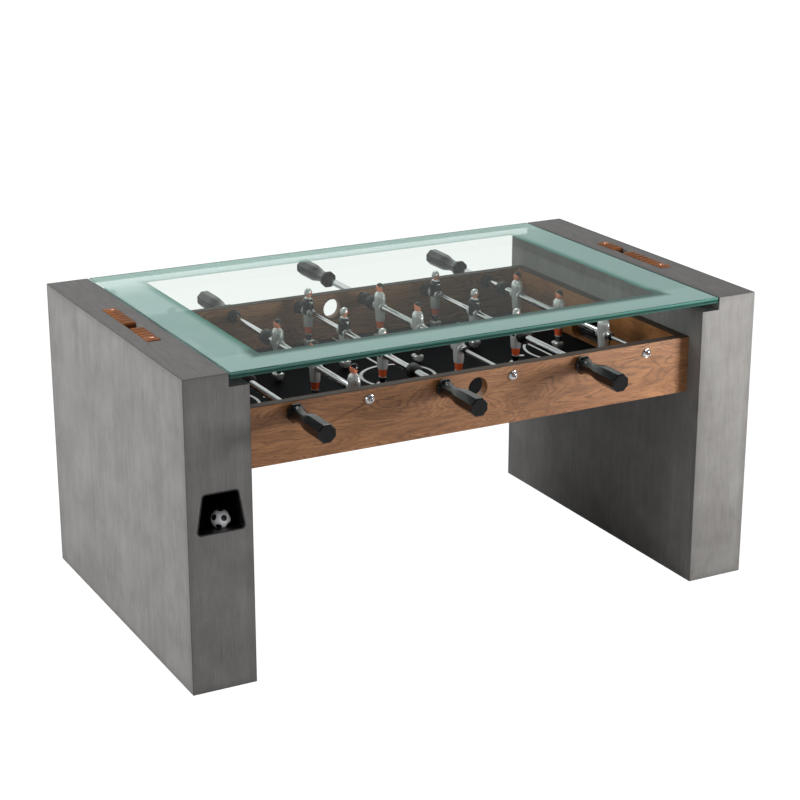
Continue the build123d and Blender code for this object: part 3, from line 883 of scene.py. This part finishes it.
pane_low, pane_high = box_mm("glass_top")
pane_x, pane_y = pane_high[0], pane_high[1]
ARRIS, CLEAR_STRIP, CORNER, WINDOW_CORNER = 0.9, 3.5, 4.0, 5.0
etch_high, etch_low = pane_high[2] - 0.3, pane_high[2] - 0.6
pane_rings = [
    rectangle(pane_x, pane_y, CORNER, pane_low[2], ARRIS),
    rectangle(pane_x, pane_y, CORNER, pane_low[2] + ARRIS),
    rectangle(pane_x, pane_y, CORNER, pane_high[2] - ARRIS),
    rectangle(pane_x, pane_y, CORNER, pane_high[2], ARRIS),
]
pane = loft(pane_rings, kind=(0, 1, 1, 1, 0))
make_piece("glass_pane", [pane], [clear_face, edge_green], nodes=["glass_top"], crease=30)
border_rings = [
    rectangle(pane_x, pane_y, CORNER, etch_high, CLEAR_STRIP),
    rectangle(WINDOW_X, WINDOW_Y, WINDOW_CORNER, etch_high),
    rectangle(WINDOW_X, WINDOW_Y, WINDOW_CORNER, etch_low),
    rectangle(pane_x, pane_y, CORNER, etch_low, CLEAR_STRIP),
]
make_piece("frosted_border", [loft(border_rings, hollow=True)], [frost])
print("pane", 2 * pane_x, "by", 2 * pane_y, "mm")

# %% [markdown]
# ## The rods
#
# Each rod is a chromed tube that slides on a thin fixed rod. The handle end of the odd rods is in front
# and that of the even rods behind. Everything round is a profile turned about the rod's line.

# %% Tubes, inner rods, bushes and bumpers
ROD_PITCH = 135.6
rod_x = {name: ROD_PITCH * (place - 2.5) for place, name in enumerate(ROD_NAMES)}
rod_way = {name: -1 if place % 2 == 0 else 1 for place, name in enumerate(ROD_NAMES)}
TUBE, BORE, INNER_ROD, PLAY, BUMPER = 6.35, 4.85, 3.5, 0.1, 13.5
WALL_IN, WALL_OUT, INNER_ROD_END = 266.5, 284.5, 150.0


def span(node):
    """The start of a node on its rod, nearest the fixed end, and its length."""
    low, high = box_mm(node)
    way = rod_way[node[:5]]
    return (low[1] if way > 0 else high[1]), high[1] - low[1], way


def ring_profile(length, outer, inner, ease):
    """The outline of a sleeve: out along its outer side with eased corners, back along its bore."""
    start = [(0, inner), (0, outer - ease), (ease * 0.3, outer - ease * 0.3), (ease, outer)]
    return start + [(length - along, radius) for along, radius in start[::-1]]


for rod in ROD_NAMES:
    start, length, way = span(f"{rod}_tube")
    tube = sleeve(ring_profile(length, TUBE, BORE, 0.5), rod_x[rod], start, way, 56)
    make_piece(f"{rod}_chromed_tube", [tube], [chrome], rod, [f"{rod}_tube"])
    start, length, way = span(f"{rod}_bumper")
    bumper = sleeve(ring_profile(length, BUMPER, TUBE + PLAY, 2.4), rod_x[rod], start, way, 48)
    make_piece(f"{rod}_rubber_bumper", [bumper], [rubber], f"{rod}_bumper", [f"{rod}_bumper"])
    start, length, way = span(f"{rod}_end_bush")
    profile = [(0, INNER_ROD + PLAY), (0, 5.9), (0.5, TUBE), (3.9, TUBE), (4.0, 4.7)]
    profile += [(length - 0.4, 4.7), (length, 4.4), (length, INNER_ROD + PLAY)]
    bush = sleeve(profile, rod_x[rod], start, way, 36)
    nodes = [f"{rod}_end_bush"]
    make_piece(f"{rod}_nylon_bush", [bush], [black_plastic], f"{rod}_carriage", nodes)
inner_parts = []
for rod in ROD_NAMES:
    way = rod_way[rod]
    reach = WALL_OUT + INNER_ROD_END
    profile = [(0, INNER_ROD), (reach - 0.6, INNER_ROD), (reach, INNER_ROD - 0.6)]
    inner_parts.append(loft(turned_along_rod(profile, rod_x[rod], -way * WALL_OUT, way, 28)))
make_piece("fixed_inner_rods", inner_parts, [steel], nodes=["inner_rods"])
print("tubes, bumpers and bushes made for", len(ROD_NAMES), "rods")

# %% [markdown]
# ## Grips
#
# A grip is an eight-sided bar with a flange, a round waist for the fingers and a chamfered end. A
# station along it is an octagon, a circle or something between: the radius at an angle is a mix of the
# octagon's, which grows towards its corners, and a constant.

# %% The eight-sided grips
SIDES = 8
GRIP_FULLNESS = 1.08
GRIP_STATIONS = [  # (along, corner radius, roundness)
    *((0.0, 13.8, 0.0), (1.2, 15.4, 0.0), (6.2, 15.5, 0.0), (7.6, 14.6, 0.1), (10.0, 13.2, 0.5)),
    *((14.0, 12.0, 0.8), (20.0, 11.1, 0.95), (28.0, 10.8, 1.0), (35.0, 11.0, 0.9), (42.0, 11.8, 0.7)),
    *((48.0, 12.9, 0.45), (54.0, 14.0, 0.2), (60.0, 14.8, 0.06), (66.0, 15.2, 0.0), (76.0, 15.3, 0.0)),
    *((115.2, 15.3, 0.0), (116.4, 14.9, 0.0), (118.0, 13.3, 0.0)),
]


def grip(x, start, way):
    """Rings whose radius mixes an octagon's, with its corners just taken off, and a circle's."""
    along, corner, roundness = np.array(GRIP_STATIONS).T[..., None]
    angle = whole_turn(SIDES * 12)
    octagon = np.minimum(flat_sided(angle, SIDES), 0.995)
    radius = GRIP_FULLNESS * corner * (octagon * (1 - roundness) + 0.965 * roundness)
    return loft(about_rod(along, radius, angle, x, start, way))


for rod in ROD_NAMES:
    start, length, way = span(f"{rod}_handle")
    name, part, nodes = f"{rod}_octagonal_grip", grip(rod_x[rod], start, way), [f"{rod}_handle"]
    make_piece(name, [part], [grip_plastic], rod, nodes, crease=11)
print("grips made", len(ROD_NAMES))

# %% [markdown]
# ## The players
#
# A player is built like the moulding it stands for: a hub on the tube, shirt, shorts, thighs, socks, a
# wedge of shoes, two arms and a head with a plain doll's face. Each part is a stack of level
# superellipses, from round to nearly square. The faces of one team look along +X and the other's along
# -X, so each works towards its own goal.

# %% Stacks, heads and whole players
HAIR, SKIN, SHIRT, SHORTS, SOCK, BAND, SHOE, HUB, EYE, SHOULDER_HIGHLIGHT, THIGH = range(11)


def stack(sections, x, y, facing, power=2.3, aside=0.0, segments=22, kind=0):
    """Each section (height, forward, half depth, half width) is a ring where depth and width are cosine
    and sine, each raised to 2 / power with its sign kept."""
    angle = whole_turn(segments)
    deep = np.sign(np.cos(angle)) * np.abs(np.cos(angle)) ** (2 / power)
    wide = np.sign(np.sin(angle)) * np.abs(np.sin(angle)) ** (2 / power)
    height, forward, half_deep, half_wide = np.asarray(sections, float).T[..., None]
    ahead, across = x + facing * (forward + half_deep * deep), y + aside + half_wide * wide
    return loft(np.stack([ahead, across, ROD_HEIGHT + height + 0 * angle], -1), kind=kind)


def head(x, y, facing, rows=18, columns=28):
    """An egg with a small nose, chin and ears: each is a soft swelling exp(-(distance / width) ** 2)
    round a direction. Hair stands a little proud above a line that drops towards the back."""
    tilt = np.linspace(0, np.pi, rows)[:, None]
    turn = whole_turn(columns)[None]
    aim = np.stack([np.sin(tilt) * np.cos(turn), np.sin(tilt) * np.sin(turn), np.cos(tilt) + 0 * turn], -1)

    def swelling(direction, width, size):
        direction = np.asarray(direction, float) / np.linalg.norm(direction)
        return size * np.exp(-(((aim - direction) ** 2).sum(-1)) / width**2)

    radius = 1 + swelling((1, 0, -0.12), 0.17, 0.15) + swelling((0.75, 0, -0.75), 0.35, 0.07)
    radius = radius + swelling((0, 1, -0.1), 0.16, 0.09) + swelling((0, -1, -0.1), 0.16, 0.09)
    hair = 1 / (1 + np.exp(-(aim[..., 2] - 0.62 * aim[..., 0] - 0.02) / 0.03))
    radius = radius + 0.07 * hair * (1 - 0.4 * aim[..., 2].clip(0, 1))
    ahead, aside, up = np.moveaxis(radius[..., None] * aim * (7.3, 6.6, 8.6), -1, 0)
    points = np.stack([x + facing * (0.5 + ahead), y + aside, ROD_HEIGHT + 36.8 + up], -1)
    faces = grid_faces(rows, columns, wrap_columns=True)
    middle = aim.reshape(-1, 3)[faces].mean(axis=1)
    kinds = np.where(middle[:, 2] - 0.62 * middle[:, 0] > 0.02, HAIR, SKIN)
    for side in (-1, 1):
        eye = np.linalg.norm(middle - (0.92, 0.34 * side, 0.08), axis=1) < 0.13
        kinds = np.where(eye, EYE, kinds)
    return points.reshape(-1, 3), faces, kinds


lower_body = [
    *((-54.5, 0, 4.6, 6.4), (-48.0, 0, 5.0, 6.8), (-43.2, 0, 5.7, 7.2), (-43.1, 0, 6.1, 7.6)),
    *((-41.4, 0, 6.2, 7.7), (-41.3, 0, 5.8, 7.4), (-34.0, 0, 6.4, 8.1), (-27.6, 0, 6.9, 8.7)),
    *((-27.5, 0, 8.2, 10.0), (-20.0, 0, 8.6, 10.6), (-9.0, 0, 9.2, 11.0), (-3.0, 0, 9.0, 10.8)),
]
lower_kinds = (SOCK,) * 3 + (BAND,) * 3 + (THIGH,) * 2 + (SHORTS,) * 5
torso = [
    *((-4.0, 0, 9.4, 11.2), (6.0, 0.2, 9.5, 11.4), (13.0, 0.3, 9.9, 12.2), (19.0, 0.3, 9.7, 12.9)),
    *((23.5, 0.3, 8.2, 12.6), (26.5, 0.3, 5.9, 10.2), (28.4, 0.2, 4.6, 6.6), (29.4, 0.3, 3.9, 4.4)),
]
# The top rings of the torso, the tops of the shoulders, take a lighter paint than the shirt: a painted
# highlight.
torso_kinds = (SHIRT,) * 6 + (SHOULDER_HIGHLIGHT,) * 3
neck = [(26.0, 0.3, 3.9, 3.9), (32.0, 0.6, 3.7, 3.7)]
arm = [
    *((22.5, 0.2, 2.4, 1.6), (20.5, 0.2, 4.0, 3.0), (14.0, 0.0, 4.0, 3.1), (6.0, -0.6, 3.6, 2.9)),
    *((-1.0, 0.4, 3.3, 2.6), (-1.1, 0.5, 3.0, 2.4), (-6.0, 2.0, 3.1, 2.3), (-8.0, 2.6, 2.2, 1.6)),
]
# The second ring of each arm, the top of the shoulder, is a painted highlight.
arm_kinds = (SHIRT, SHOULDER_HIGHLIGHT, SHIRT, SHIRT, SHIRT, SHIRT, SKIN, SKIN, SKIN)
shoes = [
    *((-53.2, 0.4, 5.6, 7.6), (-54.6, 1.2, 8.8, 9.6), (-55.4, 1.2, 9.6, 10.3), (-58.6, 1.0, 9.5, 10.3)),
    *((-60.2, 0.8, 8.8, 9.9), (-65.4, 0.0, 5.9, 8.4), (-66.0, 0.0, 5.2, 7.8)),
]
HUB_LENGTH, SHOULDER, PLAYER_PITCH = 30.0, 12.4, 150
hub = [(0, 6.5), (0, 8.0), (0.8, 8.8), (3.2, 8.8), (4.0, 7.6)]
hub += [(HUB_LENGTH - along, radius) for along, radius in hub[::-1]]


def player(x, y, facing):
    """The parts of one player, feet down, on the rod's line."""
    parts = [
        stack(lower_body, x, y, facing, kind=lower_kinds),
        stack(torso, x, y, facing, kind=torso_kinds),
        stack(neck, x, y, facing, 2.0, segments=14, kind=SKIN),
        stack(shoes, x, y, facing, 4.5, segments=28, kind=SHOE),
        sleeve(hub, x, y - HUB_LENGTH / 2, 1, 36, HUB),
        head(x, y, facing),
    ]
    for side in (-1, 1):
        parts.append(stack(arm, x, y, facing, 2.0, side * SHOULDER, 14, arm_kinds))
    return parts


SILVER, OFF_WHITE, ORANGE = (0.74, 0.76, 0.765), (0.80, 0.81, 0.80), (0.66, 0.105, 0.03)
FLESH, COAL = (0.80, 0.26, 0.15), (0.006, 0.006, 0.008)
CHARCOAL = (0.05, 0.055, 0.06)
# The shoulder tops are silver on the black team and off-white on the silver team, lighter than the shirt: a
# painted highlight.
silver_team = (COAL, FLESH, SILVER, SILVER, CHARCOAL, OFF_WHITE, OFF_WHITE, SILVER, COAL, OFF_WHITE, ORANGE)
black_team = (SILVER, FLESH, COAL, SILVER, COAL, OFF_WHITE, OFF_WHITE, SILVER, COAL, SILVER, ORANGE)
for place, rod in enumerate(ROD_NAMES):
    low, high = box_mm(f"{rod}_men")
    middle = (low[1] + high[1]) / 2
    facing = 1 if place % 2 == 0 else -1
    places = [middle + step * PLAYER_PITCH for step in (-1, 0, 1)]
    parts = [part for y in places for part in player(rod_x[rod], y, facing)]
    team, slot = (black_team, "black_team") if place % 2 == 0 else (silver_team, "silver_team")
    make_piece(f"{rod}_players", parts, [player_paint], rod, [f"{rod}_men"], 38, team)
print("players made", 3 * len(ROD_NAMES))

# %% [markdown]
# ## Fittings on the long sides
#
# On the handle side a flanged bearing carries the tube through the board. On the other side a plate and
# a bolt outside, and a disc inside, hold the thin inner rod.

# %% Bearings, plates and bolts
bearing_parts, plate_parts, bolt_parts = [], [], []
HEX = 6


def bolt(x, start, way):
    """A cylinder with an eased head whose end turns in to a six-sided socket."""
    angle = whole_turn(48)
    rows = [(0, 4.0, 0), (5.2, 4.0, 0), (5.8, 3.7, 0), (6.0, 3.2, 0)]
    rows += [(6.0, 2.25, 1), (5.8, 2.05, 1), (2.8, 2.05, 1)]
    along, radius, six = np.array(rows).T[..., None]
    reach = radius * (1 - six + six * flat_sided(angle, HEX))
    return loft(about_rod(along, reach, angle, x, start, way))


for rod in ROD_NAMES:
    x, way = rod_x[rod], rod_way[rod]
    bore = TUBE + PLAY
    carrier = [(0, bore), (0, 11.8), (0.4, 12.8), (1.2, 13.2), (3, 13.2), (3, 9), (21, 9), (21, 12)]
    carrier += [(24.2, 12), (25, 11.2), (25, bore)]
    bearing_parts.append(sleeve(carrier, x, way * (WALL_IN - 3), way, 56))
    disc = [(0, INNER_ROD), (0, 13.2), (1.8, 13.2), (2.6, 12.8), (3, 11.8), (3, INNER_ROD)]
    bearing_parts.append(sleeve(disc, x, -way * WALL_IN, way, 48))
    plate = [(0, 8.4), (1.0, 8.4), (1.6, 8.0), (1.95, 7.2), (1.7, 6.0), (2.0, 5.0)]
    plate_parts.append(loft(turned_along_rod(plate, x, -way * WALL_OUT, -way, 56)))
    bolt_parts.append(bolt(x, -way * (WALL_OUT + 2), -way))
make_piece("flanged_bearings", bearing_parts, [black_plastic], nodes=["rod_bearings"])
make_piece("anchor_cups", plate_parts, [chrome], nodes=["anchor_plates"])
make_piece("socket_bolts", bolt_parts, [chrome], nodes=["anchor_bolts"])
print("fittings made", len(bearing_parts), len(plate_parts), len(bolt_parts))

# %% [markdown]
# ## The score counters
#
# Each counter is a slot with nine round-topped wooden blocks between two end stops. A team slides one
# block across the gap for each goal. The outline of a block, seen from the side of the table, is carried
# along X and shrunk a little at both ends, which eases its edges.

# %% Score blocks, stops and their copper screws
BLOCK_PITCH, BLOCK_GAP, STOP_LENGTH, FREE_GAP, BLOCKS = 14.2, 0.3, 28.0, 30.2, 9
BLOCK_HALF = 11.2
FIRST_BLOCK = STOP_LENGTH - SLOT_HALF
slot_low, slot_high = box_mm("score_stops")
counter_x = slot_high[0] - BLOCK_HALF


def score_piece(x, low, length, crown):
    """A side outline with two rounded top corners, carried across the slot with eased ends."""
    bottom, top = slot_low[2], slot_high[2]
    corners = [(low, bottom), (low, top), (low + length, top), (low + length, bottom)]
    outline, outward = rounded_outline(corners, (0.6, crown, crown, 0.6))
    across = np.array((-BLOCK_HALF, -11.0, -10.4, 10.4, 11.0, BLOCK_HALF))[:, None]
    inset = np.array((0.8, 0.25, 0.0, 0.0, 0.25, 0.8))[:, None, None]
    section = outline[None] - outward[None] * inset
    return loft(np.stack([x + across + 0 * section[..., 0], section[..., 0], section[..., 1]], -1))


def screw(x, y):
    """A domed head with a round recess, turned about an upright line."""
    angle = whole_turn(40)
    profile = [(0, 4.6), (0.35, 4.6), (0.8, 4.2), (1.25, 3.3), (1.52, 2.2), (1.58, 1.5)]
    profile += [(1.1, 1.2), (0.7, 0.9)]
    height, radius = np.array(profile).T[..., None]
    rings = [x + radius * np.cos(angle), y + radius * np.sin(angle), slot_high[2] + height + 0 * angle]
    return loft(np.stack(rings, -1))


fixed_blocks, stops, screws = [], [], []
for side, way, near_count in (("left", -1, 4), ("right", 1, 7)):
    x = way * counter_x
    for number in range(BLOCKS):
        beyond_gap = FREE_GAP if number >= near_count else 0
        low = FIRST_BLOCK + number * BLOCK_PITCH + BLOCK_GAP / 2 + beyond_gap
        block = score_piece(x, low, BLOCK_PITCH - BLOCK_GAP, 5.0)
        if number == near_count - 1:
            nodes = [f"{side}_score_block"]
            make_piece(f"{side}_next_block", [block], [score_wood], f"{side}_score", nodes)
        else:
            fixed_blocks.append(block)
    for low in (-SLOT_HALF, SLOT_HALF - STOP_LENGTH):
        stops.append(score_piece(x, low, STOP_LENGTH, 2.5))
        screws.append(screw(x, low + STOP_LENGTH / 2))
make_piece("waiting_score_blocks", fixed_blocks, [score_wood], nodes=["score_blocks"])
make_piece("score_end_stops", stops, [score_wood], nodes=["score_stops"])
make_piece("copper_screws", screws, [copper], nodes=["score_screws"])
print("score blocks made", len(fixed_blocks) + 2, "stops", len(stops), "screws", len(screws))

# %% [markdown]
# ## The ball
#
# The ball rests in the left pocket. It is a grid of longitude and latitude, and its finish draws the
# patches.

# %% The ball
ball_low, ball_high = box_mm("ball")
ball_middle, ball_radius = (ball_low + ball_high) / 2, (ball_high[2] - ball_low[2]) / 2
tilt = np.linspace(0, np.pi, 33)[:, None]
turn = whole_turn(56)[None]
sphere = np.stack([np.sin(tilt) * np.cos(turn), np.sin(tilt) * np.sin(turn), np.cos(tilt) + 0 * turn], -1)
skin = loft(ball_middle + ball_radius * sphere)
make_piece("patched_ball", [skin], [ball_finish], nodes=["ball"])
print("ball radius", round(float(ball_radius), 2))

# %% [markdown]
# ## Stage, light and camera
#
# A pale floor, a bright surround, a warm key light low in front on the right, a broad side light on the
# left, a soft one above and behind, and a faint fill in front on the left. The key is near, so it fades
# along the front from right to left. The side light is left out of reflections, so the glass stays clear.

# %% The floor and the surround
SCENE = bpy.context.scene
SCENE.view_settings.view_transform = "Standard"
floor_mesh = bpy.data.meshes.new("studio_floor")
FLOOR_HALF, FLOOR_GAP = 9.0, 0.0006
corners = np.array([(-1, -1, 0), (1, -1, 0), (1, 1, 0), (-1, 1, 0)]) * FLOOR_HALF - (0, 0, FLOOR_GAP)
floor_mesh.from_pydata(corners.tolist(), [], [(0, 1, 2, 3)])
floor = bpy.data.objects.new("studio_floor", floor_mesh)
SCENE.collection.objects.link(floor)
paper = Finish("studio_paper")
seen = paper.node("ShaderNodeLightPath", out="Is Camera Ray")
matt = paper.node("ShaderNodeBsdfDiffuse", {}, {"Color": (0.55, 0.55, 0.55, 1.0)})
glow = paper.node("ShaderNodeEmission", {}, {"Color": (1.0, 1.0, 1.0, 1.0), "Strength": 1.2})
white = paper.node("ShaderNodeMixShader", {}, {0: seen * 0.85, 1: matt, 2: glow})
floor_mesh.materials.append(paper.done(white))

surround = Finish("surround", bpy.data.worlds.new("surround"))
seen = surround.node("ShaderNodeLightPath", out="Is Camera Ray")
glossy = surround.node("ShaderNodeLightPath", out="Is Glossy Ray")
aim = surround.node("ShaderNodeTexCoord", out="Generated")
backdrop = surround.node("ShaderNodeVectorMath", DOT, {0: aim, 1: (0.47, 0.88, 0.0)}, out="Value")
overhead = surround.node("ShaderNodeSeparateXYZ", {}, {0: aim}, out=2).rise(0.45, 0.75)
strength = seen * 0.79 + glossy * (backdrop.rise(-0.1, 0.6) * (1 - overhead * 0.7) * 0.8 - 0.1) + 0.23
sky = surround.node("ShaderNodeBackground", {}, {"Color": (1.0, 1.0, 1.0, 1.0), "Strength": strength})
SCENE.world = surround.done(sky, "ShaderNodeOutputWorld")
print("stage ready")

# %% Lights
def soft_light(name, watts, size, place, aim, colour=(1.0, 1.0, 1.0)):
    """A rectangular lamp at place that faces aim, both in mm from the table's middle."""
    lamp = bpy.data.lights.new(name, "AREA")
    lamp.energy, lamp.shape, lamp.size, lamp.size_y = watts, "RECTANGLE", size[0], size[1]
    lamp.color = colour
    holder = bpy.data.objects.new(name, lamp)
    SCENE.collection.objects.link(holder)
    spot, target = (Vector(to_frame(point).tolist()) for point in (place, aim))
    holder.location = spot
    holder.rotation_euler = (target - spot).to_track_quat("-Z", "Y").to_euler()
    return holder


soft_light("key_right_front", 15.6, (0.32, 0.42), (980, -1120, 620), (480, -300, 300), (1.0, 0.985, 0.965))
side_lamp = soft_light("side_left", 60, (1.8, 1.4), (-2400, 200, 1100), (-541, 0, 260))
soft_light("above", 17, (1.3, 0.8), (150, 750, 2150), (0, 0, 480))
soft_light("fill_left_front", 1.9, (0.5, 0.4), (-620, -1700, 420), (-500, -320, 290))
side_lamp.visible_glossy = False

# %% Camera
CAMERA_PLACE, CAMERA_TURN, LENS = (-1598.63, -3011.97, 1454.36), (71.6165, 0.0062, -28.0180), 89.576
camera = bpy.data.cameras.new("camera")
camera.sensor_width, camera.lens = 36.0, LENS
holder = bpy.data.objects.new("camera", camera)
SCENE.collection.objects.link(holder)
holder.location = to_frame(CAMERA_PLACE).tolist()
holder.rotation_euler = [math.radians(angle) for angle in CAMERA_TURN]
SCENE.camera = holder
print("camera set")
